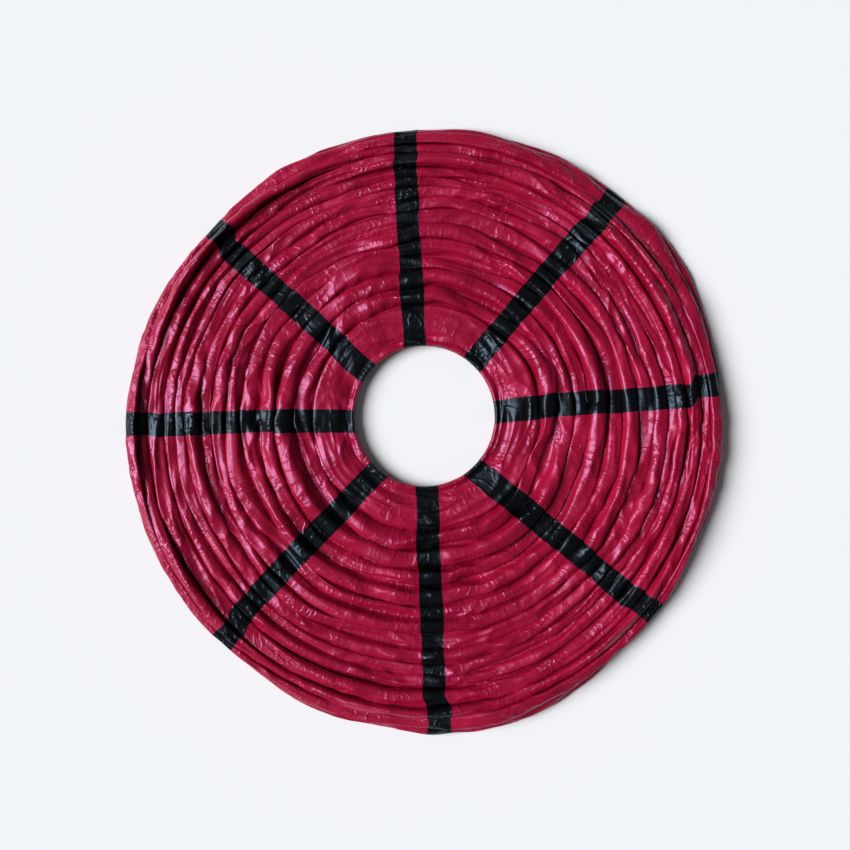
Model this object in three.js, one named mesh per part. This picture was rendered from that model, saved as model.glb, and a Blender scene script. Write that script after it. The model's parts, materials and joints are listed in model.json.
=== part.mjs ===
// A round collapsible lantern shade, lying flat: wire hoops nested in one another, with a band of thin
// plastic film from each hoop to the next. Lifting the top opening hoop draws the nest out into a globe.
// Millimetres, +Z up. The origin is on the surface the shade lies on, under the centre of its widest hoops.
import * as THREE from "three";

// Driving dimensions
const GLOBE_RADIUS = 200; // of the opened globe, to the middle of the wires
const OPENING_RADIUS = 50; // of the two opening hoops, to the middle of their wire
const BANDS = 19; // film bands, an odd number, so that the widest one spans the equator
const WIRE = 1.8; // a hoop's wire, across its flats
const OPENING_WIRE = 2.4; // the two opening hoops are of thicker wire
const FILM = 0.5; // a film band's wall in the middle of its fold
const CLEARANCE = 0.35; // between a film band and the wires it hangs from
const STACK = 6.5; // from the lower hoops' level up to the upper hoops' level
const UPPER_FOLD = 0.4; // how far the upper bands stand up, as a share of a fully upright fold
const LOWER_FOLD = 0.12; // the same for the lower bands, which the upper ones press down
const RIM_PLEAT = 6; // how far the widest band stands out past the globe's radius
const NEST_DRIFT = 10.5; // how far off centre, along +Y, a hoop at a pole would lie in the nest

// Derived values
const HOOPS = BANDS + 1;
const POLE_ANGLE = Math.asin(OPENING_RADIUS / GLOBE_RADIUS);
const BAND_ANGLE = (Math.PI - 2 * POLE_ANGLE) / BANDS;
const FILM_WIDTH = GLOBE_RADIUS * BAND_ANGLE; // of one band, along the globe from wire to wire
const AROUND = 32; // segments round every ring
const WIRE_SIDES = 6;

const wireMaterial = new THREE.MeshStandardMaterial({ color: 0x8d8f94, roughness: 0.4, metalness: 1 });
const filmMaterial = new THREE.MeshStandardMaterial({ color: 0xab1438, roughness: 0.35, metalness: 0 });

// The hoop numbered from 1, at the bottom opening, to HOOPS, at the top one. Its angle runs from the
// bottom pole. Lower hoops lie on the surface, and upper ones one STACK above them.
function hoopAt(number) {
  const angle = POLE_ANGLE + (number - 1) * BAND_ANGLE;
  const isOpening = number === 1 || number === HOOPS;
  const wire = isOpening ? OPENING_WIRE : WIRE;
  return {
    name: isOpening ? `opening_hoop_${number === 1 ? "bottom" : "top"}` : `hoop_${twoDigits(number)}`,
    radius: GLOBE_RADIUS * Math.sin(angle),
    height: wire / 2 + (number > HOOPS / 2 ? STACK : 0),
    drift: NEST_DRIFT * Math.cos(angle) ** 2,
    wire,
    reach: wire / 2 / Math.cos(Math.PI / WIRE_SIDES), // from the wire's middle to its corners
  };
}

function twoDigits(number) {
  return String(number).padStart(2, "0");
}

// A closed ring about +Z. Each corner of its section has a radius, a height and a drift along +Y, and
// the corners run anticlockwise with the radius to the right.
function ringMesh(name, corners, material) {
  const closed = [...corners, corners[0]];
  const section = closed.map((c) => new THREE.Vector2(c.radius, c.height));
  const geometry = new THREE.LatheGeometry(section, AROUND).rotateX(Math.PI / 2);
  const position = geometry.getAttribute("position");
  for (let i = 0; i < position.count; i++) {
    position.setY(i, position.getY(i) + closed[i % closed.length].drift);
  }
  geometry.computeVertexNormals();
  const mesh = new THREE.Mesh(geometry, material);
  mesh.name = name;
  return mesh;
}

// A wire hoop, with flats at its top and bottom.
function wireHoop(hoop) {
  const corners = Array.from({ length: WIRE_SIDES }, (_, side) => {
    const turn = (2 * Math.PI * side) / WIRE_SIDES;
    return {
      radius: hoop.radius + hoop.reach * Math.cos(turn),
      height: hoop.height + hoop.reach * Math.sin(turn),
      drift: hoop.drift,
    };
  });
  return ringMesh(hoop.name, corners, wireMaterial);
}

// The film between two hoops at one level: one fold, which rises between the inner and the outer wire.
function foldedBand(name, inner, outer, share) {
  const from = inner.radius + inner.reach + CLEARANCE;
  const to = outer.radius - outer.reach - CLEARANCE;
  const upright = Math.sqrt(FILM_WIDTH ** 2 - (to - from) ** 2) / 2;
  const crest = {
    radius: (from + to) / 2,
    height: (inner.height + outer.height) / 2 + share * upright,
    drift: (inner.drift + outer.drift) / 2,
  };
  const corners = [
    { radius: from, height: inner.height, drift: inner.drift },
    { ...crest, height: crest.height - FILM },
    { radius: to, height: outer.height, drift: outer.drift },
    crest,
  ];
  return ringMesh(name, corners, filmMaterial);
}

// The widest band, between two hoops of one radius at different levels: one pleat, which stands outwards.
function rimBand(name, lower, upper) {
  const from = lower.radius + lower.reach + CLEARANCE;
  const crest = {
    radius: GLOBE_RADIUS + RIM_PLEAT,
    height: (lower.height + upper.height) / 2,
    drift: (lower.drift + upper.drift) / 2,
  };
  const corners = [
    { radius: from, height: lower.height, drift: lower.drift },
    crest,
    { radius: from, height: upper.height, drift: upper.drift },
    { ...crest, radius: crest.radius - FILM },
  ];
  return ringMesh(name, corners, filmMaterial);
}

function filmBand(number) {
  const name = `film_band_${twoDigits(number)}`;
  const below = hoopAt(number);
  const above = hoopAt(number + 1);
  if (number === (BANDS + 1) / 2) return rimBand(name, below, above);
  if (number > BANDS / 2) return foldedBand(name, above, below, UPPER_FOLD);
  return foldedBand(name, below, above, LOWER_FOLD);
}

const shade = new THREE.Group();
for (let number = 1; number <= HOOPS; number++) shade.add(wireHoop(hoopAt(number)));
for (let number = 1; number <= BANDS; number++) shade.add(filmBand(number));

export default shade;
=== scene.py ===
"""A round collapsible lantern shade of thin film over nested wire hoops, lying flat."""
import json
import math

import bpy
import numpy as np
from bpy.props import FloatProperty, FloatVectorProperty, IntProperty, PointerProperty
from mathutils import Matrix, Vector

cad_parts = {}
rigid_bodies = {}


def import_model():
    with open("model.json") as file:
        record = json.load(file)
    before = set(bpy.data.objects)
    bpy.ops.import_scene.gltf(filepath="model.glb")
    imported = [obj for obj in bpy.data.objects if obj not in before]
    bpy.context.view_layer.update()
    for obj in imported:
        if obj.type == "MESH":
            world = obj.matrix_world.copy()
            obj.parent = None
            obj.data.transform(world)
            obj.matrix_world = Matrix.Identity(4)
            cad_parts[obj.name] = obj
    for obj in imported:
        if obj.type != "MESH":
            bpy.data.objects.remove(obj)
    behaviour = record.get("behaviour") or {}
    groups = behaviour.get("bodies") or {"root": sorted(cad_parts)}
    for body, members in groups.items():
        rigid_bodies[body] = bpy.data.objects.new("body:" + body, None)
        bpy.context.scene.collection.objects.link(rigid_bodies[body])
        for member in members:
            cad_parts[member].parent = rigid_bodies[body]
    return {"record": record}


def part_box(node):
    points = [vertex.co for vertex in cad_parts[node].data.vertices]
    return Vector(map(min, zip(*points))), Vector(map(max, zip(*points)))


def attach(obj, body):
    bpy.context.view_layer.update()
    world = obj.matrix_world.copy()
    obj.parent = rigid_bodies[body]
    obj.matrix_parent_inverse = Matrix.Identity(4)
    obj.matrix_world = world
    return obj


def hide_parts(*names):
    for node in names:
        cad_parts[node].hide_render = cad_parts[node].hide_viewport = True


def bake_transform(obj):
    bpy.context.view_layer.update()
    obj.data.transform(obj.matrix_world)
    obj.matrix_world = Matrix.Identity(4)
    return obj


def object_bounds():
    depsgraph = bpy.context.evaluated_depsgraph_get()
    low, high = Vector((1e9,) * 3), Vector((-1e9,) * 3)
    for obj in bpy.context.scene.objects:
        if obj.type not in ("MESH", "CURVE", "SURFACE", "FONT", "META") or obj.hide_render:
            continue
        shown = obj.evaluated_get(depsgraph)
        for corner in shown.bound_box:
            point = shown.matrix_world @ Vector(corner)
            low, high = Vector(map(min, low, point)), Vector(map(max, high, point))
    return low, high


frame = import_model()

bl_info = {
    "name": "Folding Lantern Shade",
    "version": (1, 0, 0),
    "blender": (4, 5, 0),
    "location": "3D View > Sidebar > Shade",
    "description": "Makes a collapsible film lantern shade lying flat, with its wire hoops, film and stage",
    "category": "Add Mesh",
}

CAD_LOW, CAD_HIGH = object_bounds()
BEHAVIOUR = frame["record"]["behaviour"]
BODIES = [BEHAVIOUR["joints"][0]["parent"], *(joint["child"] for joint in BEHAVIOUR["joints"])]
HOOPS = len(BODIES)
BANDS = HOOPS - 1
LAST_BAND = BANDS - 1  # hoops and bands are counted from 0, at the bottom opening
FIRST_UPPER = HOOPS // 2  # the lowest hoop of the upper half, and the band that starts at it
RIM_BAND = FIRST_UPPER - 1  # the widest band, between the two halves
GORES = 8

# Where each black stripe starts at the opening and ends at the rim, in degrees clockwise from +Y.
STRIPE_COURSES = (
    (-7.8, -4.2, 0.5), (42.5, 39.5, -0.2), (87, 83, -2.0), (137, 129.2, -0.6),
    (178.2, 177.9, -0.8), (220.4, 224.6, -0.9), (265.6, 270.8, 0.3), (307.4, 312.6, 1.3),
)
# Where the rim pleat stands out or is tucked in: degrees clockwise from +Y, half width, metres.
RIM_BULGES = (
    (8, 24, 0.0036), (26, 8, 0.0030), (52, 20, 0.0085), (98, 9, 0.0010), (114, 9, -0.0026),
    (132, 12, -0.0022), (155, 12, 0.0030), (170, 14, 0.0060), (198, 10, 0.0020), (222, 12, -0.0040),
    (245, 10, -0.0012), (275, 14, 0.0020), (312, 11, -0.0036), (335, 12, 0.0008),
)

# Sizes of the folds where they are full, in metres.
CREST_HEIGHT = 0.0074  # of an upper fold's crest over its wires
VALLEY_DEPTH = 0.0046  # of the valley behind it
CREST_LEAN = 0.0013  # how far the crest leans outwards
HEAD_HALF_WIDTH = 0.0046  # of a lower fold's flattened head
HEAD_HEIGHT = 0.0054
OUT_OF_ROUND = 0.0054  # how far the hoops and the film on them bend
DRAG = 0.0013  # how far the film is dragged round the ring between its wires
SEAM_RISE = 0.00012  # of the doubled film at a seam
FILM_SINK, HEM_SINK, FLOOR_GAP = 0.0002, 0.0003, 0.0005  # below the lowest wires: film, hems, floor
STEP_RADIUS, STEP_WIDTH = 0.1835, 0.0025  # where a stripe steps aside, at the outermost fold
DRAWN_SHARE = 0.82  # the drawn wire's thickness as a share of the frame's hoop
WIRE_LAP = 0.014  # length over which a wire's two ends lap
LAP_ANGLE = 17  # where they lap, in degrees clockwise from +Y


class FilmSizes(bpy.types.PropertyGroup):
    """Sizes of the film and of its folds."""

    stripe_width: FloatProperty(
        name="Stripe width", description="Width of each black stripe", default=0.016, unit="LENGTH")
    lap_width: FloatProperty(
        name="Lap width", description="Width of the doubled film at each seam", default=0.008,
        unit="LENGTH")
    film_gap: FloatProperty(
        name="Film gap", description="From a wire's surface to the film's surface", default=0.00012,
        unit="LENGTH")
    hem: FloatProperty(
        name="Hem", description="Film turned under each opening hoop", default=0.007, unit="LENGTH")
    rim_pleat: FloatProperty(
        name="Rim pleat", description="How far the widest band stands out", default=0.0052,
        unit="LENGTH")
    path_share: FloatProperty(
        name="Path share", description="Least length of a band's section, as a share of its width",
        default=0.765, min=0.5, max=1.0)
    crumple: FloatProperty(
        name="Crumple", description="Least length of an upper band's section over the hoops' gap",
        default=1.72, min=1.0, max=2.0)
    tooth_pitch: FloatProperty(
        name="Fold spacing", description="Least distance between two folds", default=0.008,
        unit="LENGTH")
    top_cell: FloatProperty(
        name="Top mesh cell", description="Mesh size on the upper film", default=0.00064,
        unit="LENGTH")
    under_cell: FloatProperty(
        name="Lower mesh cell", description="Mesh size on the lower film", default=0.0015,
        unit="LENGTH")
    seed: IntProperty(name="Seed", description="Changes every crease", default=7)


class FilmColours(bpy.types.PropertyGroup):
    """Colours and gloss of the film and the wire."""

    red: FloatVectorProperty(
        name="Red film", description="Colour of the plain film", subtype="COLOR", size=3,
        default=(0.335, 0.0036, 0.031), min=0, max=1)
    red_deep: FloatVectorProperty(
        name="Doubled red film", description="Colour where two layers lie together",
        subtype="COLOR", size=3, default=(0.24, 0.0025, 0.018), min=0, max=1)
    black: FloatVectorProperty(
        name="Black film", description="Colour of the stripes", subtype="COLOR", size=3,
        default=(0.0026, 0.0024, 0.0034), min=0, max=1)
    sheen: FloatVectorProperty(
        name="Red film's gloss", description="Colour of the light the red film reflects",
        subtype="COLOR", size=3, default=(1.0, 0.52, 0.92), min=0, max=1)
    black_sheen: FloatVectorProperty(
        name="Black film's gloss", description="Colour of the light the black film reflects",
        subtype="COLOR", size=3, default=(0.32, 0.41, 0.51), min=0, max=1)
    wire: FloatVectorProperty(
        name="Wire", description="Colour of the hoops' wire", subtype="COLOR", size=3,
        default=(0.36, 0.36, 0.37), min=0, max=1)
    gloss: FloatProperty(
        name="Roughness", description="Roughness of the film", default=0.34, min=0, max=1)


class StageSettings(bpy.types.PropertyGroup):
    """Camera and light."""

    width: FloatProperty(
        name="View width", description="Width that the camera takes in at the hoops",
        default=0.5862, unit="LENGTH")
    lens: FloatProperty(name="Lens", description="Focal length in millimetres", default=50)
    camera_x: FloatProperty(
        name="Camera X", description="Camera's place along X", default=0.0003, unit="LENGTH")
    camera_y: FloatProperty(
        name="Camera Y", description="Camera's place along Y", default=0.0037, unit="LENGTH")
    key: FloatProperty(name="Key light", description="Power of the window light", default=4.4)
    sun_azimuth: FloatProperty(
        name="Light azimuth", description="Where the window light comes from, in degrees from +Y",
        default=268)
    sun_height: FloatProperty(
        name="Light height", description="Degrees of the window light over the floor", default=43)
    sun_spread: FloatProperty(
        name="Light spread", description="Width of the window light in degrees", default=38)
    sun_colour: FloatVectorProperty(
        name="Light colour", description="Colour of the window light", subtype="COLOR", size=3,
        default=(0.94, 0.96, 1.0), min=0, max=1)
    floor_colour: FloatVectorProperty(
        name="Floor", description="Colour of the floor", subtype="COLOR", size=3,
        default=(0.9, 0.9, 0.9), min=0, max=1)
    world: FloatProperty(name="World", description="Strength of the light all round", default=0.09)


# ---------------------------------------------------------------- hoops and noise


class Hoop:
    """One hoop as the frame holds it: its radius, its centre's place along +Y, its height, and half its
    wire's thickness, in metres."""

    def __init__(self, body):
        nodes = BEHAVIOUR["bodies"][body]
        self.node = next(n for n in nodes if "hoop" in n)
        self.film = next((n for n in nodes if "film" in n), None)
        self.body = body
        low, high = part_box(self.node)
        self.wire = (high[2] - low[2]) / 2
        self.radius = (high[0] - low[0]) / 2 - self.wire / math.cos(math.pi / 6)
        self.centre = (low[1] + high[1]) / 2
        self.height = (low[2] + high[2]) / 2


ALL_HOOPS = [Hoop(body) for body in BODIES]
# The globe's radius. The widest two hoops lie half a band to each side of its equator.
GLOBE = ALL_HOOPS[FIRST_UPPER].radius / math.sin(
    math.pi / 2 - (math.pi / 2 - math.asin(ALL_HOOPS[0].radius / ALL_HOOPS[FIRST_UPPER].radius)) / BANDS)
HOOP_SPACING = GLOBE * (math.pi - 2 * math.asin(ALL_HOOPS[0].radius / GLOBE)) / BANDS
FILM_WIDTH = 1.05 * HOOP_SPACING  # the film is cut with a little slack between the hoops

TABLE = 1024
_shuffle = np.random.default_rng(11)
SHUFFLED = _shuffle.permutation(TABLE)
SLOPES = _shuffle.uniform(0, 2 * math.pi, TABLE)
SLOPES = np.stack([np.cos(SLOPES), np.sin(SLOPES)], axis=-1)


def noise(x, y, seed, around=None):
    """Gradient noise, about -1 to 1: at each lattice point a seeded slope, blended between points by
    6t^5 - 15t^4 + 10t^3. With around, x repeats after that many cells."""
    x, y = np.broadcast_arrays(np.asarray(x, float), np.asarray(y, float))
    i, j = np.floor(x).astype(np.int64), np.floor(y).astype(np.int64)
    fx, fy = x - i, y - j
    bx, by = (f * f * f * (f * (6 * f - 15) + 10) for f in (fx, fy))
    total = np.zeros(x.shape)
    for di in (0, 1):
        column = (i + di) % around if around else i + di
        inner = SHUFFLED[(column + seed * 131) % TABLE]
        for dj in (0, 1):
            slope = SLOPES[SHUFFLED[(inner + j + dj + seed * 17) % TABLE]]
            weight = (bx if di else 1 - bx) * (by if dj else 1 - by)
            total += weight * (slope[..., 0] * (fx - di) + slope[..., 1] * (fy - dj))
    return total * 1.5


def creased(x, y, seed, around=None, sharp=0.12):
    """Noise with sharp crests, -1 to 1: one less twice the root of noise squared plus sharp squared."""
    n = noise(x, y, seed, around)
    return 1 - 2.4 * np.sqrt(n * n + sharp * sharp)


def ring_noise(turns, length, radius, row, seed):
    """Noise along a ring: turns runs 0 to 1 round it, and a wave is about length long."""
    around = max(3, round(2 * math.pi * radius / length))
    return noise(turns * around, row, seed, around)


def sway(radius, turns, is_top):
    """How far a hoop of a radius, and the film on it, bends out of round: nothing at the opening and
    little at the rim, where the other nest holds it."""
    inner, outer = ALL_HOOPS[0].radius, ALL_HOOPS[FIRST_UPPER].radius
    share = np.clip((radius - inner) / (outer - inner), 0, 1)
    size = OUT_OF_ROUND * share ** 0.7 * (1 - 0.8 * share ** 3)
    seed = 301 if is_top else 302
    slow, quick = noise(turns * 7, radius / 0.045, seed, 7), noise(turns * 16, radius / 0.03, seed, 16)
    return size * (slow + 0.4 * quick)


# ---------------------------------------------------------------- the film's layout


def stripe_angle(gore, radius, is_top):
    """Angle of a stripe's middle, in radians clockwise from +Y. A stripe lies straight in plan, so its
    angle changes as one over the radius between the opening and the rim. On the upper half it steps at
    the outermost fold, and on the lower half it keeps its step and three tenths of its slant."""
    start, end, step = STRIPE_COURSES[gore % GORES]
    if is_top:
        stepped = step * np.clip((radius - STEP_RADIUS) / STEP_WIDTH, 0, 1)
    else:
        start, stepped = end + 0.3 * (start - end), step
    inner, outer = ALL_HOOPS[0].radius, ALL_HOOPS[FIRST_UPPER].radius
    share = (1 / radius - 1 / outer) / (1 / inner - 1 / outer)
    turn = 360 * (gore // GORES)
    return np.radians(turn + end + (start - end) * share + stepped)


class Columns:
    """The mesh columns round a band, laid so that stripes and laps keep their width at every radius.
    Each gore runs from one stripe's middle to the next: half stripe, red, lap, red, half stripe."""

    def __init__(self, mean_radius, cell, sizes):
        self.sizes = sizes
        arc = 2 * math.pi * mean_radius / GORES
        plain = (arc - sizes.stripe_width - sizes.lap_width) / 2
        stripe = 2 * max(2, round(sizes.stripe_width / 2 / cell))
        lap = 2 * max(2, round(sizes.lap_width / 2 / cell))
        red = max(4, round(plain / cell))
        counts = np.tile([stripe, red, lap, red], GORES)
        self.segment = np.repeat(np.arange(len(counts)), counts)
        starts = np.concatenate([[0], np.cumsum(counts)])
        self.share = (np.arange(len(self.segment)) - starts[self.segment]) / counts[self.segment]
        self.is_stripe = self.segment % 4 == 0
        self.is_lap = self.segment % 4 == 2
        self.count = len(self.segment)

    def angles(self, radius, is_top):
        """Angle of every column at each of the radii, as rows by columns."""
        half_stripe = np.arcsin(self.sizes.stripe_width / 2 / radius)
        half_lap = np.arcsin(self.sizes.lap_width / 2 / radius)
        knots = []
        for gore in range(GORES + 1):
            middle = stripe_angle(gore, radius, is_top)
            after = stripe_angle(gore + 1, radius, is_top)
            seam = (middle + after) / 2
            knots += [middle - half_stripe, middle + half_stripe, seam - half_lap, seam + half_lap]
        knots = np.stack(knots, axis=-1)
        low, high = knots[:, self.segment], knots[:, self.segment + 1]
        return low + self.share * (high - low)


def spline_weights(count, rows):
    """Weights of a clamped quadratic B-spline with count control points, at rows even parameters."""
    knots = np.concatenate([[0] * 2, np.linspace(0, 1, count - 1), [1] * 2])
    at = np.linspace(0, 1, rows)
    at[-1] = 1 - 1e-9
    weights = ((knots[:-1] <= at[:, None]) & (at[:, None] < knots[1:])).astype(float)
    for degree in (1, 2):
        span = knots[degree:-1] - knots[:-degree - 1]
        after = knots[degree + 1:] - knots[1:-degree]
        up = (at[:, None] - knots[:-degree - 1]) / np.where(span > 0, span, 1) * (span > 0)
        down = (knots[degree + 1:] - at[:, None]) / np.where(after > 0, after, 1) * (after > 0)
        weights = up * weights[:, :-1] + down * weights[:, 1:]
    return weights


def path_length(points):
    """Length of a section, from first row to last, as a mean over all angles."""
    return np.linalg.norm(np.diff(points, axis=0), axis=-1).sum(axis=0).mean()


# ---------------------------------------------------------------- sections of the film


def upper_controls(outer, inner, teeth, overhang, fold, turns, seed, film_gap):
    """Control points of an upper band's section, from the top of its outer wire to the top of its inner
    one. It is a row of teeth. Each stands up in a crest that leans outwards, slopes in to a valley, and
    is undercut by the next one's lean. overhang is added to the first crest's lean. fold, 0 to 1, is how
    high the crests stand and how deep the valleys are. Noise along the ring moves every point."""
    gap = outer.radius - inner.radius
    pitch = gap / teeth
    wire, last_top = outer.wire + film_gap, inner.height - outer.height + inner.wire + film_gap
    lengths = (0.12, 0.07, 0.09, 0.075, 0.05, 0.04, 0.065, 0.035)

    def wander(row):
        return ring_noise(turns, lengths[row % 8], outer.radius, 1.7 * row + 0.37, seed)

    ripple = 0.0004 + 0.0016 * fold
    points = [(0, wire)]
    for tooth in range(teeth):
        row = 9 * tooth
        high = fold * CREST_HEIGHT * np.maximum(1 + 1.5 * wander(row), 0.12)
        deep = 0.0002 + fold * VALLEY_DEPTH * (1 + 0.7 * wander(row + 3))
        lean = np.minimum(fold * 3, 1) * CREST_LEAN * np.maximum(1 + 2.2 * wander(row + 1), 0.1)
        lean = lean + (overhang if tooth == 0 else 0)
        start = tooth * pitch + (0.75 * pitch * wander(row + 2) if tooth else 0)
        base = wire if tooth == 0 else 0.0
        if tooth:
            points += [(start - 0.5 * lean, 0.1 * high - 0.4 * deep)]
        points += [
            (start - 0.7 * lean, base + 0.2 * high),
            (start - lean, base + 0.5 * high),
            (start + 0.1 * pitch - 0.3 * lean, 1.1 * base + 0.75 * high),
            (start + (0.36 + 0.18 * wander(row + 7)) * pitch,
             0.5 * base + 1.05 * high + ripple * wander(row + 4)),
            (start + (0.6 + 0.2 * wander(row + 8)) * pitch,
             0.95 * high + ripple * wander(row + 5)),
        ]
        end = (tooth + 1) * pitch
        if tooth == teeth - 1:
            valley = end - np.minimum(0.1 * pitch + 0.0014, 0.0030)
            points += [
                (valley - 0.15 * pitch, 0.45 * high - 0.35 * deep + 0.5 * ripple * wander(row + 6)),
                (valley, -deep),
                (end - 0.0012, 0.3 * last_top),
                (end - 0.45 * wire, last_top),
                (end, last_top),
            ]
        else:
            points += [
                (end - 0.3 * pitch, 0.42 * high - 0.3 * deep + 0.5 * ripple * wander(row + 6)),
                (end - 0.08 * pitch, -0.7 * deep),
            ]
    return ring_points(outer, points, turns, -1)


def ring_points(hoop, points, turns, side):
    """Points given as distances across (outwards for side 1, inwards for -1) and up from a hoop's wire,
    as radius and height at every angle."""
    return np.stack([
        np.stack([hoop.radius + side * across + 0 * turns, hoop.height + up + 0 * turns], -1)
        for across, up in points])


def lower_controls(inner, outer, fold, turns, seed, film_gap):
    """Control points of a lower band's section, from under its inner wire to under its outer one. Between
    the wires the film rises in one fold, pressed flat on top by the upper nest. fold, 0 to 1, is how wide
    and high its head is."""
    gap = outer.radius - inner.radius
    wire, last = inner.wire + film_gap, outer.wire + film_gap
    rise = outer.height - inner.height
    wander = [ring_noise(turns, length, outer.radius, row + 0.71, seed)
              for row, length in enumerate((0.09, 0.06, 0.05))]
    head = fold * HEAD_HALF_WIDTH * (1 + 0.12 * wander[0])
    top = np.minimum(1, 1.5 * fold) * HEAD_HEIGHT * (1 + 0.06 * wander[1])
    middle = gap / 2 + wander[2] * np.minimum(0.05 * gap, 0.001)
    stem = np.minimum(0.12 * gap, 0.0008)
    points = [
        (0, -wire),
        (0.4 * wire, -wire),
        (middle - 1.2 * stem, 0.02 * top - wire),
        (middle - stem, 0.55 * top - wire),
        (middle - head, 0.55 * top - wire),
        (middle - head, top - wire),
        (middle + head, top - wire),
        (middle + head, 0.55 * top - wire),
        (middle + stem, 0.55 * top - wire),
        (middle + 1.2 * stem, 0.02 * top - wire),
        (gap - 0.4 * wire, rise - last),
        (gap, rise - last),
    ]
    return ring_points(inner, points, turns, 1)


def rim_reach(turns, seed, pleat):
    """How far the widest band stands out past its hoops all round: the pleat, the bulges and noise, and
    never less than the wire needs."""
    degrees = 360 * turns
    reach = pleat + 0 * turns
    for middle, half_width, height in RIM_BULGES:
        away = (degrees - middle + 180) % 360 - 180
        reach = reach + height * np.exp(-(away / half_width) ** 2)
    reach = reach + 0.0006 * ring_noise(turns, 0.07, GLOBE, 3.3, seed)
    reach = reach + 0.0003 * ring_noise(turns, 0.022, GLOBE, 5.1, seed)
    least = 0.0016
    return least + np.sqrt(((reach - least) + np.sqrt((reach - least) ** 2 + 1e-6)) ** 2 / 4 + 1e-8)


def rim_controls(lower, upper, fold, turns, seed, sizes):
    """Control points of the widest band's section: from under the lower wire out into a pleat, back
    between the nests, out into a second pleat, and in to the top of the upper wire. fold, 0 to 1, is how
    far the film goes back between the two pleats."""
    reach = rim_reach(turns, seed, sizes.rim_pleat)
    wander = [ring_noise(turns, length, lower.radius, row + 1.9, seed)
              for row, length in enumerate((0.06, 0.03, 0.05, 0.04, 0.024))]
    under = -lower.wire - sizes.film_gap
    rise = upper.height - lower.height
    over = rise + upper.wire + sizes.film_gap
    second = np.maximum(reach * (0.85 + 0.5 * wander[0]), 0.0024)
    tuck = np.minimum(reach, second) * (1 - 0.95 * fold) * (1 + 0.3 * wander[2])
    droop = 0.0013 * wander[3]
    points = [
        (0, under),
        (0.0012, under),
        (0.6 * reach, 0.14 * rise + under + 0.5 * droop),
        (reach + 0.0006, 0.2 * rise + droop),
        (reach + 0.0004, 0.36 * rise + droop),
        (tuck, 0.42 * rise + 0.0004 * wander[1]),
        (tuck, 0.6 * rise + 0.0004 * wander[1]),
        (second, 0.66 * rise + droop),
        (second + 0.0003, 0.82 * rise + droop),
        (np.maximum(0.55 * second, 0.0016), over + 0.0004 + 0.0007 * wander[4]),
        (0.0012, over + 0.0003),
        (0, over),
    ]
    return ring_points(lower, points, turns, 1)


def band_controls(number, fold, turns, sizes):
    """Control points of band number's section, at the given fold."""
    first, last = ALL_HOOPS[number], ALL_HOOPS[number + 1]
    seed = sizes.seed + 100 * number
    if number == RIM_BAND:
        return rim_controls(first, last, fold, turns, seed, sizes)
    if number < FIRST_UPPER:
        return lower_controls(first, last, fold, turns, seed, sizes.film_gap)
    teeth = 1 if first.radius - last.radius < sizes.tooth_pitch * 1.6 or number == LAST_BAND else 2
    overhang = 0
    if number == FIRST_UPPER:
        overhang = 0.45 * rim_reach(turns, sizes.seed + 100 * RIM_BAND, sizes.rim_pleat)
    return upper_controls(first, last, teeth, overhang, fold, turns, seed, sizes.film_gap)


def wanted_length(number, sizes):
    """Length of band number's section: a share of the film's width, or what a crumpled band needs."""
    length = sizes.path_share * FILM_WIDTH
    if number >= FIRST_UPPER:
        gap = ALL_HOOPS[number].radius - ALL_HOOPS[number + 1].radius
        length = max(length, gap * (1.12 if number == LAST_BAND else sizes.crumple))
    return length


def folded_section(number, turns, rows, sizes):
    """Band number's section at every angle, as rows by angles by radius and height. The fold is found by
    halving, so that the section's mean length is what is wanted. The rows are then spaced evenly along
    the mean section."""
    wanted = wanted_length(number, sizes)
    fine, small, large = 6 * rows, 0.0, 1.0
    weights = spline_weights(len(band_controls(number, 0.5, turns, sizes)), fine)
    for _ in range(11):
        fold = (small + large) / 2
        path = np.einsum("rc,cnd->rnd", weights, band_controls(number, fold, turns, sizes))
        if path_length(path) < wanted:
            small = fold
        else:
            large = fold
    steps = np.linalg.norm(np.diff(path, axis=0), axis=-1).mean(axis=1)
    length = np.concatenate([[0], np.cumsum(steps)])
    place = np.interp(np.linspace(0, length[-1], rows), length, np.arange(fine))
    below = np.minimum(place.astype(int), fine - 2)
    part = (place - below)[:, None, None]
    return path[below] * (1 - part) + path[below + 1] * part


def hem_rows(hoop, is_top, hem, film_gap, rows=14):
    """Section of the hem: an arc from the film's end round the inner side of an opening wire, then
    straight out under the wire. Radius and height at each row."""
    side = 1 if is_top else -1
    around = hoop.wire + film_gap
    turn = np.linspace(0, math.pi, rows)[1:]
    radius = hoop.radius - around * np.sin(turn)
    height = hoop.height + side * around * np.cos(turn)
    along = np.linspace(0, hem, 8)[1:]
    radius = np.concatenate([radius, hoop.radius + along])
    height = np.concatenate([height, np.full(len(along), hoop.height - side * around)])
    return radius, height


# ---------------------------------------------------------------- film meshes


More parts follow.
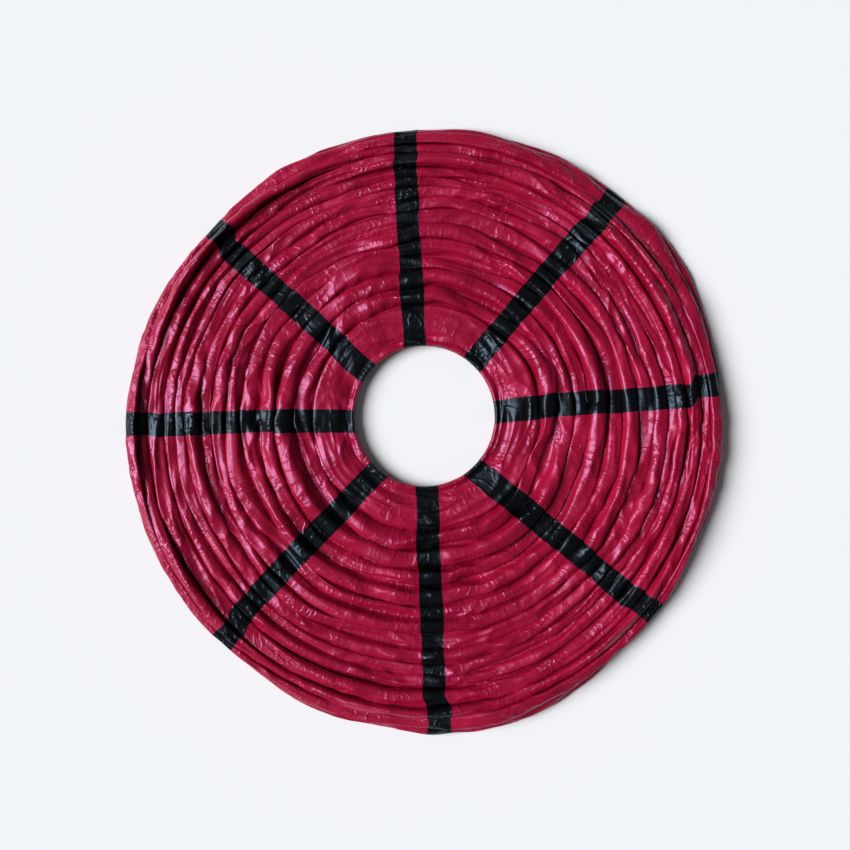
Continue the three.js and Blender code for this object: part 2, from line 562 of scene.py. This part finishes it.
def creases(turns, along, mean_radius, seed, strength, edge):
    """Height of the small creases, in metres. along is the distance across the band's film from its
    first wire, and edge the distance to the nearer wire. There are long folds that run round, slanting
    tension folds, gathers beside the wires, and fine crumpling, each in patches, and all die out at the
    wires. Each kind is written as its height, and the length and width of a crease and of a patch."""
    circle = 2 * math.pi * mean_radius

    def cells(length):
        return max(3, round(circle / length))

    def at(length, width, row, sharp=0.12, skew=0.0):
        n = cells(length)
        return creased(turns * n + skew * along / FILM_WIDTH, along / width + row, seed + row, n, sharp)

    def patch(length, width, row, low=-0.2, high=0.5):
        n = cells(length)
        field = noise(turns * n, along / width + row, seed + 40 + row, n)
        share = np.clip((field - low) / (high - low), 0, 1)
        return share * share * (3 - 2 * share)

    long_folds = 0.0013 * at(0.06, 0.0085, 1, 0.06) * patch(0.11, 0.03, 1, -0.4, 0.3)
    long_folds += 0.0005 * at(0.03, 0.005, 2, 0.06) * patch(0.07, 0.02, 2)
    long_folds += 0.0003 * at(0.05, 0.0032, 8, 0.05, 3) * patch(0.08, 0.02, 8, -0.3, 0.35)
    skewed = round(1.6 * FILM_WIDTH / 0.02)
    slanting = 0.0011 * at(0.024, 0.03, 3, 0.05, skewed) * patch(0.06, 0.04, 3, -0.25, 0.35)
    slanting += 0.0011 * at(0.026, 0.03, 4, 0.05, -skewed) * patch(0.07, 0.04, 4, -0.25, 0.35)
    gathers = at(0.0032, 0.011, 5, 0.2) * patch(0.03, 0.02, 5, -0.1, 0.5)
    gathers *= np.exp(-((edge - 0.0035) / 0.005) ** 2)
    crumple = 0.00028 * at(0.011, 0.008, 6, 0.035) * patch(0.04, 0.02, 6, -0.1, 0.4)
    crumple += 0.0001 * at(0.005, 0.0046, 7, 0.04) * patch(0.025, 0.02, 7, 0.0, 0.5)
    total = long_folds + slanting + 0.0001 * gathers + crumple
    return strength * total * (1 - np.exp(-((edge / 0.0014) ** 2)))


def creased_section(path, number, turns, columns, sizes):
    """A folded section pushed along its own normal by the creases, and raised at the seams."""
    first, last = ALL_HOOPS[number], ALL_HOOPS[number + 1]
    step = np.gradient(path, axis=0)
    normal = np.stack([step[..., 1], -step[..., 0]], axis=-1)
    normal /= np.linalg.norm(normal, axis=-1, keepdims=True) + 1e-12
    along = np.linspace(0, 1, len(path))[:, None] * FILM_WIDTH
    edge = np.minimum(along, FILM_WIDTH - along)
    gap = abs(first.radius - last.radius)
    strength = 0.45 + 0.55 * min(1, gap / 0.016) if number >= FIRST_UPPER else 0.35
    strength = 0.4 if number == RIM_BAND else strength
    seed = sizes.seed + 100 * number
    push = creases(turns, along, (first.radius + last.radius) / 2, seed, strength, edge)
    seam_rise = np.where(columns.is_lap, SEAM_RISE, 0.0)
    return path + (push + seam_rise)[..., None] * normal


def off_the_wires(path, hoops, clearance):
    """A section with each point that lies in a wire, or nearer to it than clearance, pushed straight out."""
    for hoop in hoops:
        middle = np.array([hoop.radius, hoop.height])
        away = path - middle
        clear = (hoop.wire + clearance) / (np.linalg.norm(away, axis=-1, keepdims=True) + 1e-9)
        path = middle + away * np.maximum(clear, 1)
    return path


def hemmed(path, share, number, turns, sizes):
    """The first or last band's section with its hem joined on, and each row's place across the film: a
    hem's rows all lie at the film's end."""
    is_top = number >= FIRST_UPPER
    hoop = ALL_HOOPS[-1] if is_top else ALL_HOOPS[0]
    hem_radius, hem_height = hem_rows(hoop, is_top, sizes.hem, sizes.film_gap)
    ruffle = 0.00018 * ring_noise(turns, 0.006, hoop.radius, 2.2, sizes.seed + 100 * number)
    hem = np.stack(np.broadcast_arrays(hem_radius[:, None] + ruffle, hem_height[:, None]), -1)
    if is_top:
        return np.concatenate((path, hem)), np.concatenate((share, np.ones(len(hem))))
    return np.concatenate((hem[::-1], path)), np.concatenate((np.zeros(len(hem)), share))


def film_band(number, sizes):
    """Makes the film between hoops number and number + 1. Its section is a quadratic B-spline through
    control points that vary round the ring; creases push it along its normal; and it is turned round +Z,
    with its centre sliding from one hoop's centre to the other's."""
    first, last = ALL_HOOPS[number], ALL_HOOPS[number + 1]
    is_top, is_rim, is_hemmed = number >= FIRST_UPPER, number == RIM_BAND, number in (0, LAST_BAND)
    cell = sizes.top_cell if number >= RIM_BAND else sizes.under_cell
    mean_radius = (first.radius + last.radius) / 2
    columns = Columns(mean_radius, cell, sizes)
    rows = round(wanted_length(number, sizes) / cell) + 1
    reference = columns.angles(np.array([mean_radius]), is_top or is_rim)[0]
    turns = reference / (2 * math.pi)
    section = folded_section(number, turns, rows, sizes)
    path = creased_section(section, number, turns, columns, sizes)
    path = off_the_wires(path, (first, last), 0.8 * sizes.film_gap)
    blend = np.linspace(0, 1, rows)
    if is_hemmed:
        path, blend = hemmed(path, blend, number, turns, sizes)
    lowest = CAD_LOW[2] - (HEM_SINK if is_hemmed else FILM_SINK)
    radius, height = path[..., 0], np.maximum(path[..., 1], lowest)

    centre = first.centre + (last.centre - first.centre) * blend
    flat_radius = first.radius + (last.radius - first.radius) * blend
    angle = columns.angles(flat_radius, is_top or is_rim)
    turned = angle / (2 * math.pi)
    if is_rim:
        low, high = (sway(first.radius, turned, top) for top in (False, True))
        radius = radius + low + (high - low) * blend[:, None]
    else:
        radius = radius + sway(flat_radius[:, None], turned, is_top)
    drag = DRAG * ring_noise(turns, 0.02, mean_radius, 4.4, sizes.seed + 100 * number)
    angle = angle + drag * np.sin(math.pi * blend)[:, None] / mean_radius
    points = np.stack([radius * np.sin(angle), centre[:, None] + radius * np.cos(angle), height], -1)

    film = grid_piece(f"{first.film}_skin", points, columns, number * FILM_WIDTH)
    film.data.materials.append(bpy.data.materials["red_film"])
    film.data.materials.append(bpy.data.materials["black_film"])
    bend_along_film(film, blend, columns.count)
    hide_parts(first.film)


def grid_piece(name, points, columns, start):
    """A mesh from rows by columns of points, closed round, facing away from the globe's middle. It gets
    a UV map in metres along and across the film, and a lap attribute that is 1 on doubled film."""
    rows, count, _ = points.shape
    index = np.arange(rows * count).reshape(rows, count)
    right = np.roll(index, -1, axis=1)
    quads = np.stack([index[:-1], index[1:], right[1:], right[:-1]], axis=-1).reshape(-1, 4)
    mesh = bpy.data.meshes.new(name)
    mesh.vertices.add(rows * count)
    mesh.vertices.foreach_set("co", points.astype(np.float32).ravel())
    mesh.loops.add(quads.size)
    mesh.loops.foreach_set("vertex_index", quads.ravel().astype(np.int32))
    mesh.polygons.add(len(quads))
    mesh.polygons.foreach_set("loop_start", np.arange(0, quads.size, 4, dtype=np.int32))
    stripe = np.broadcast_to(columns.is_stripe, (rows - 1, count))
    mesh.polygons.foreach_set("material_index", stripe.astype(np.int32).ravel())
    mesh.polygons.foreach_set("use_smooth", np.ones(len(quads), bool))
    mesh.update(calc_edges=True)
    steps = np.linalg.norm(np.diff(points, axis=1, append=points[:, :1]), axis=-1)
    u = np.concatenate([np.zeros((rows, 1)), np.cumsum(steps, axis=1)], axis=1)
    u = np.broadcast_to(u.mean(axis=0), u.shape)
    v = start + np.linspace(0, FILM_WIDTH, rows)[:, None] + np.zeros((1, count + 1))
    uv = np.stack([u, v], axis=-1)
    corners = np.stack([uv[:-1, :-1], uv[1:, :-1], uv[1:, 1:], uv[:-1, 1:]], axis=2)
    layer = mesh.uv_layers.new(name="film")
    layer.data.foreach_set("uv", corners.astype(np.float32).ravel())
    lap = mesh.attributes.new("lap", "FLOAT", "POINT")
    lap.data.foreach_set("value", np.tile(columns.is_lap.astype(np.float32), rows))
    piece = bpy.data.objects.new(name, mesh)
    bpy.context.scene.collection.objects.link(piece)
    return piece


def bend_along_film(piece, share, count):
    """Lays a piece's points along +Z by their place across the film, not by their height, applies the
    piece's transform to its mesh, and puts the points back where they were."""
    mesh = piece.data
    folded = np.empty(len(mesh.vertices) * 3, np.float32)
    mesh.vertices.foreach_get("co", folded)
    even = 0.5 - np.sin(np.arcsin(1 - 2 * np.clip(share, 0, 1)) / 3)
    laid = np.zeros((len(mesh.vertices), 3), np.float32)
    laid[:, 2] = np.repeat(even, count)
    mesh.vertices.foreach_set("co", laid.ravel())
    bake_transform(piece)
    mesh.vertices.foreach_set("co", folded)
    mesh.update()


# ---------------------------------------------------------------- wire


def wire_hoop(hoop):
    """A round wire bent into a hoop. Its two ends lap for a short way, where each moves to its own side
    by a quarter of the wire's thickness, eased by a cosine."""
    around, sides = 320, 10
    lap = WIRE_LAP / hoop.radius
    turn = np.linspace(-lap / 2, 2 * math.pi + lap / 2, around)
    ease = np.clip(np.minimum(turn + lap / 2, 2 * math.pi + lap / 2 - turn) / lap, 0, 1)
    side = np.where(turn < math.pi, -1, 1) * 0.5 * (1 + np.cos(math.pi * ease))
    thin = hoop.wire * DRAWN_SHARE
    middle = hoop.radius + side * thin * 0.52
    start = math.radians(LAP_ANGLE)
    middle = middle + sway(hoop.radius, (turn + start) / (2 * math.pi), hoop.height > CAD_HIGH[2] / 2)
    round_turn = np.linspace(0, 2 * math.pi, sides, endpoint=False)
    radius = middle[:, None] + thin * np.cos(round_turn)
    points = np.stack([
        radius * np.sin(turn + start)[:, None],
        hoop.centre + radius * np.cos(turn + start)[:, None],
        hoop.height + thin * np.sin(round_turn) + 0 * radius], axis=-1)
    index = np.arange(around * sides).reshape(around, sides)
    right = np.roll(index, -1, axis=1)
    quads = np.stack([index[:-1], right[:-1], right[1:], index[1:]], axis=-1).reshape(-1, 4)
    caps = [index[0, ::-1].tolist(), index[-1].tolist()]
    name = f"{hoop.node}_wire"
    mesh = bpy.data.meshes.new(name)
    mesh.from_pydata(points.reshape(-1, 3).tolist(), [], quads.tolist() + caps)
    mesh.polygons.foreach_set("use_smooth", np.ones(len(mesh.polygons), bool))
    mesh.materials.append(bpy.data.materials["drawn_wire"])
    mesh.update()
    piece = bpy.data.objects.new(name, mesh)
    bpy.context.scene.collection.objects.link(piece)
    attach(piece, hoop.body)
    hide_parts(hoop.node)


# ---------------------------------------------------------------- materials


def group_socket(group, name, kind, is_input, default=None):
    socket = group.interface.new_socket(
        name=name, in_out="INPUT" if is_input else "OUTPUT", socket_type=kind)
    if default is not None:
        socket.default_value = default
    return socket


def crinkle_group():
    """The film's finest crumpling. Normal is bumped by short creases across the film in patches and by
    fine crumpling all over, and is tilted facet by facet. Cloud is a slow change for tone and gloss."""
    group = bpy.data.node_groups.new("fine_crinkle", "ShaderNodeTree")
    group_socket(group, "Vector", "NodeSocketVector", True)
    group_socket(group, "Pucker height", "NodeSocketFloat", True, 0.0001)
    group_socket(group, "Crumple height", "NodeSocketFloat", True, 0.00028)
    group_socket(group, "Facet tilt", "NodeSocketFloat", True, 0.13)
    group_socket(group, "Normal", "NodeSocketVector", False)
    group_socket(group, "Cloud", "NodeSocketFloat", False)
    nodes, links = group.nodes, group.links
    start, end = nodes.new("NodeGroupInput"), nodes.new("NodeGroupOutput")

    def texture(scale, detail, kind="FBM", vector=None):
        node = nodes.new("ShaderNodeTexNoise")
        node.noise_type = kind
        node.inputs["Scale"].default_value = scale
        node.inputs["Detail"].default_value = detail
        links.new(vector or start.outputs["Vector"], node.inputs["Vector"])
        return node.outputs["Fac"]

    def maths(operation, *values):
        node = nodes.new("ShaderNodeMath")
        node.operation = operation
        for socket, value in zip(node.inputs, values):
            if isinstance(value, (int, float)):
                socket.default_value = value
            else:
                links.new(value, socket)
        return node.outputs["Value"]

    def crest(value, sharp):
        """1 on the noise's middle level, falling off to both sides: a sharp line."""
        off = maths("ABSOLUTE", maths("SUBTRACT", value, 0.5))
        return maths("SUBTRACT", 1.0, maths("MINIMUM", maths("MULTIPLY", off, sharp), 1.0))

    def patch(scale, low, high):
        node = nodes.new("ShaderNodeMapRange")
        node.interpolation_type = "SMOOTHSTEP"
        node.inputs["From Min"].default_value = low
        node.inputs["From Max"].default_value = high
        links.new(texture(scale, 1), node.inputs["Value"])
        return node.outputs["Result"]

    squeeze = nodes.new("ShaderNodeVectorMath")
    squeeze.operation = "MULTIPLY"
    squeeze.inputs[1].default_value = (1.0, 0.34, 1.0)
    links.new(start.outputs["Vector"], squeeze.inputs[0])
    across = crest(texture(210, 1.5, vector=squeeze.outputs["Vector"]), 6.0)
    pucker = maths("MULTIPLY", maths("MULTIPLY", across, patch(42, 0.42, 0.6)),
                   start.outputs["Pucker height"])
    coarse = crest(texture(125, 1.5), 14.0)
    fine = crest(texture(380, 1), 4.0)
    crumple = maths("MULTIPLY", maths("MULTIPLY_ADD", fine, 0.12, coarse),
                    start.outputs["Crumple height"])
    crumple = maths("MULTIPLY", crumple, maths("MULTIPLY_ADD", patch(34, 0.42, 0.62), 0.85, 0.15))

    def vector(operation, first, second):
        node = nodes.new("ShaderNodeVectorMath")
        node.operation = operation
        for socket, value in zip(node.inputs, (first, second)):
            if isinstance(value, tuple):
                socket.default_value = value
            elif value is not None:
                links.new(value, socket)
        return node.outputs["Vector"]

    warp = nodes.new("ShaderNodeTexNoise")
    warp.inputs["Scale"].default_value = 90
    links.new(start.outputs["Vector"], warp.inputs["Vector"])
    bent = vector("MULTIPLY", warp.outputs["Color"], (0.012, 0.012, 0))
    cells = nodes.new("ShaderNodeTexVoronoi")
    cells.inputs["Scale"].default_value = 110
    links.new(vector("ADD", vector("MULTIPLY", start.outputs["Vector"], (1, 0.62, 1)), bent),
              cells.inputs["Vector"])
    scale = nodes.new("ShaderNodeVectorMath")
    scale.operation = "SCALE"
    links.new(vector("SUBTRACT", cells.outputs["Color"], (0.5, 0.5, 0.5)), scale.inputs[0])
    links.new(maths("MULTIPLY", start.outputs["Facet tilt"],
                    maths("MULTIPLY_ADD", patch(36, 0.4, 0.6), 0.85, 0.15)), scale.inputs["Scale"])
    facing = nodes.new("ShaderNodeNewGeometry")
    tilted = vector("NORMALIZE", vector("ADD", facing.outputs["Normal"], scale.outputs["Vector"]), None)
    bump = nodes.new("ShaderNodeBump")
    bump.inputs["Strength"].default_value = 1.0
    bump.inputs["Distance"].default_value = 1.0
    links.new(maths("ADD", pucker, crumple), bump.inputs["Height"])
    links.new(tilted, bump.inputs["Normal"])
    links.new(bump.outputs["Normal"], end.inputs["Normal"])
    links.new(texture(28, 4), end.inputs["Cloud"])
    return group


def map_range(nodes, links, source, low, high):
    """A noise value, 0.3 to 0.7, mapped to low to high."""
    node = nodes.new("ShaderNodeMapRange")
    node.inputs["From Min"].default_value = 0.3
    node.inputs["From Max"].default_value = 0.7
    node.inputs["To Min"].default_value = low
    node.inputs["To Max"].default_value = high
    links.new(source, node.inputs["Value"])
    return node.outputs["Result"]


def film_material(name, plain, doubled, gloss, tint, crinkle):
    """Thin glossy film: its colour clouds a little, goes three tenths of the way to its doubled colour
    at a lap, and it crinkles. tint colours its gloss."""
    material = bpy.data.materials.new(name)
    material.use_nodes = True
    nodes, links = material.node_tree.nodes, material.node_tree.links
    shader = nodes["Principled BSDF"]
    uv = nodes.new("ShaderNodeUVMap")
    uv.uv_map = "film"
    fine = nodes.new("ShaderNodeGroup")
    fine.node_tree = crinkle
    lap = nodes.new("ShaderNodeAttribute")
    lap.attribute_name = "lap"
    colour = nodes.new("ShaderNodeMix")
    colour.data_type = "RGBA"
    colour.inputs["A"].default_value = (*plain, 1)
    colour.inputs["B"].default_value = (*doubled, 1)
    less = nodes.new("ShaderNodeMath")
    less.operation = "MULTIPLY"
    less.inputs[1].default_value = 0.3
    shaded = nodes.new("ShaderNodeHueSaturation")
    links.new(uv.outputs["UV"], fine.inputs["Vector"])
    links.new(lap.outputs["Fac"], less.inputs[0])
    links.new(less.outputs["Value"], colour.inputs["Factor"])
    links.new(colour.outputs["Result"], shaded.inputs["Color"])
    links.new(map_range(nodes, links, fine.outputs["Cloud"], 0.8, 1.18), shaded.inputs["Value"])
    links.new(shaded.outputs["Color"], shader.inputs["Base Color"])
    links.new(map_range(nodes, links, fine.outputs["Cloud"], gloss - 0.07, gloss + 0.09),
              shader.inputs["Roughness"])
    links.new(fine.outputs["Normal"], shader.inputs["Normal"])
    shader.inputs["IOR"].default_value = 1.6
    shader.inputs["Specular Tint"].default_value = (*tint, 1)
    return material


def wire_material(colour):
    """Plain drawn wire, with fine streaks and a little dullness."""
    material = bpy.data.materials.new("drawn_wire")
    material.use_nodes = True
    nodes, links = material.node_tree.nodes, material.node_tree.links
    shader = nodes["Principled BSDF"]
    shader.inputs["Metallic"].default_value = 1.0
    place = nodes.new("ShaderNodeTexCoord")
    grain = nodes.new("ShaderNodeTexNoise")
    grain.inputs["Scale"].default_value = 900
    grain.inputs["Detail"].default_value = 4
    tint = nodes.new("ShaderNodeMix")
    tint.data_type = "RGBA"
    tint.inputs["A"].default_value = (*[c * 0.7 for c in colour], 1)
    tint.inputs["B"].default_value = (*colour, 1)
    rough = nodes.new("ShaderNodeMapRange")
    rough.inputs["To Min"].default_value = 0.3
    rough.inputs["To Max"].default_value = 0.5
    links.new(place.outputs["Object"], grain.inputs["Vector"])
    links.new(grain.outputs["Fac"], tint.inputs["Factor"])
    links.new(tint.outputs["Result"], shader.inputs["Base Color"])
    links.new(grain.outputs["Fac"], rough.inputs["Value"])
    links.new(rough.outputs["Result"], shader.inputs["Roughness"])
    return material


# ---------------------------------------------------------------- stage


def soft_sun(name, azimuth, height, spread, power, colour):
    """A wide soft light from far away. azimuth is clockwise from +Y, and all angles are in degrees."""
    light = bpy.data.lights.new(name, "SUN")
    light.angle = math.radians(spread)
    light.energy = power
    light.color = colour
    lamp = bpy.data.objects.new(name, light)
    bpy.context.scene.collection.objects.link(lamp)
    lamp.rotation_euler = (math.radians(90 - height), 0, math.radians(180 - azimuth))
    lamp.location = (0, 0, 1)


# ---------------------------------------------------------------- operators


class SHADE_OT_materials(bpy.types.Operator):
    """Makes the film's and the wire's materials"""

    bl_idname = "shade.materials"
    bl_label = "Materials"

    def execute(self, context):
        colours = context.scene.shade_colours
        crinkle = crinkle_group()
        film_material("red_film", colours.red, colours.red_deep, colours.gloss, colours.sheen, crinkle)
        film_material(
            "black_film", colours.black, colours.black, colours.gloss, colours.black_sheen, crinkle)
        wire_material(colours.wire)
        return {"FINISHED"}


class SHADE_OT_hoops(bpy.types.Operator):
    """Makes the twenty wire hoops"""

    bl_idname = "shade.hoops"
    bl_label = "Wire hoops"

    def execute(self, context):
        for hoop in ALL_HOOPS:
            wire_hoop(hoop)
        return {"FINISHED"}


class SHADE_OT_lower_film(bpy.types.Operator):
    """Makes the film bands below the widest one"""

    bl_idname = "shade.lower_film"
    bl_label = "Lower film"

    def execute(self, context):
        for number in range(RIM_BAND):
            film_band(number, context.scene.shade_film)
        return {"FINISHED"}


class SHADE_OT_rim_film(bpy.types.Operator):
    """Makes the widest film band, the pleat round the rim"""

    bl_idname = "shade.rim_film"
    bl_label = "Rim pleat"

    def execute(self, context):
        film_band(RIM_BAND, context.scene.shade_film)
        return {"FINISHED"}


class SHADE_OT_upper_film(bpy.types.Operator):
    """Makes the film bands above the widest one"""

    bl_idname = "shade.upper_film"
    bl_label = "Upper film"

    def execute(self, context):
        for number in range(FIRST_UPPER, BANDS):
            film_band(number, context.scene.shade_film)
        return {"FINISHED"}


class SHADE_OT_stage(bpy.types.Operator):
    """Makes the floor, the light and the camera"""

    bl_idname = "shade.stage"
    bl_label = "Stage"

    def execute(self, context):
        scene, stage = context.scene, context.scene.shade_stage
        scene.view_settings.view_transform = "Standard"
        half = 6.0  # of the floor's side
        floor_mesh = bpy.data.meshes.new("floor")
        level = CAD_LOW[2] - FLOOR_GAP
        floor_mesh.from_pydata(
            [(-half, -half, level), (half, -half, level), (half, half, level), (-half, half, level)],
            [], [(0, 1, 2, 3)])
        floor = bpy.data.objects.new("floor", floor_mesh)
        scene.collection.objects.link(floor)
        paint = bpy.data.materials.new("floor_paint")
        paint.use_nodes = True
        shader = paint.node_tree.nodes["Principled BSDF"]
        shader.inputs["Base Color"].default_value = (*stage.floor_colour, 1)
        shader.inputs["Roughness"].default_value = 0.9
        floor_mesh.materials.append(paint)

        world = bpy.data.worlds.new("soft_room")
        scene.world = world
        world.use_nodes = True
        world.node_tree.nodes["Background"].inputs["Color"].default_value = (0.93, 0.96, 1.0, 1)
        world.node_tree.nodes["Background"].inputs["Strength"].default_value = stage.world
        soft_sun("window", stage.sun_azimuth, stage.sun_height, stage.sun_spread, stage.key,
                 stage.sun_colour)

        camera_data = bpy.data.cameras.new("camera")
        camera_data.lens = stage.lens
        camera_data.sensor_width = 36
        camera = bpy.data.objects.new("camera", camera_data)
        scene.collection.objects.link(camera)
        distance = stage.width * stage.lens / camera_data.sensor_width
        camera.location = (stage.camera_x, stage.camera_y, ALL_HOOPS[-1].height + distance)
        scene.camera = camera
        return {"FINISHED"}


class SHADE_PT_panel(bpy.types.Panel):
    """Lists the shade's pieces"""

    bl_idname = "SHADE_PT_panel"
    bl_label = "Folding Lantern Shade"
    bl_space_type = "VIEW_3D"
    bl_region_type = "UI"
    bl_category = "Shade"

    def draw(self, context):
        for operator in OPERATORS:
            self.layout.operator(operator.bl_idname)
        for settings in (context.scene.shade_film, context.scene.shade_colours, context.scene.shade_stage):
            for name in settings.__annotations__:
                self.layout.prop(settings, name)


GROUPS = (FilmSizes, FilmColours, StageSettings)
OPERATORS = (SHADE_OT_stage, SHADE_OT_materials, SHADE_OT_hoops, SHADE_OT_lower_film,
             SHADE_OT_rim_film, SHADE_OT_upper_film)


def register():
    for cls in (*GROUPS, *OPERATORS, SHADE_PT_panel):
        bpy.utils.register_class(cls)
    bpy.types.Scene.shade_film = PointerProperty(type=FilmSizes)
    bpy.types.Scene.shade_colours = PointerProperty(type=FilmColours)
    bpy.types.Scene.shade_stage = PointerProperty(type=StageSettings)


def unregister():
    del bpy.types.Scene.shade_stage, bpy.types.Scene.shade_colours, bpy.types.Scene.shade_film
    for cls in reversed((*GROUPS, *OPERATORS, SHADE_PT_panel)):
        bpy.utils.unregister_class(cls)


def main():
    register()
    bpy.ops.shade.stage()
    bpy.ops.shade.materials()
    bpy.ops.shade.hoops()
    bpy.ops.shade.lower_film()
    bpy.ops.shade.rim_film()
    bpy.ops.shade.upper_film()


if __name__ == "__main__":
    main()
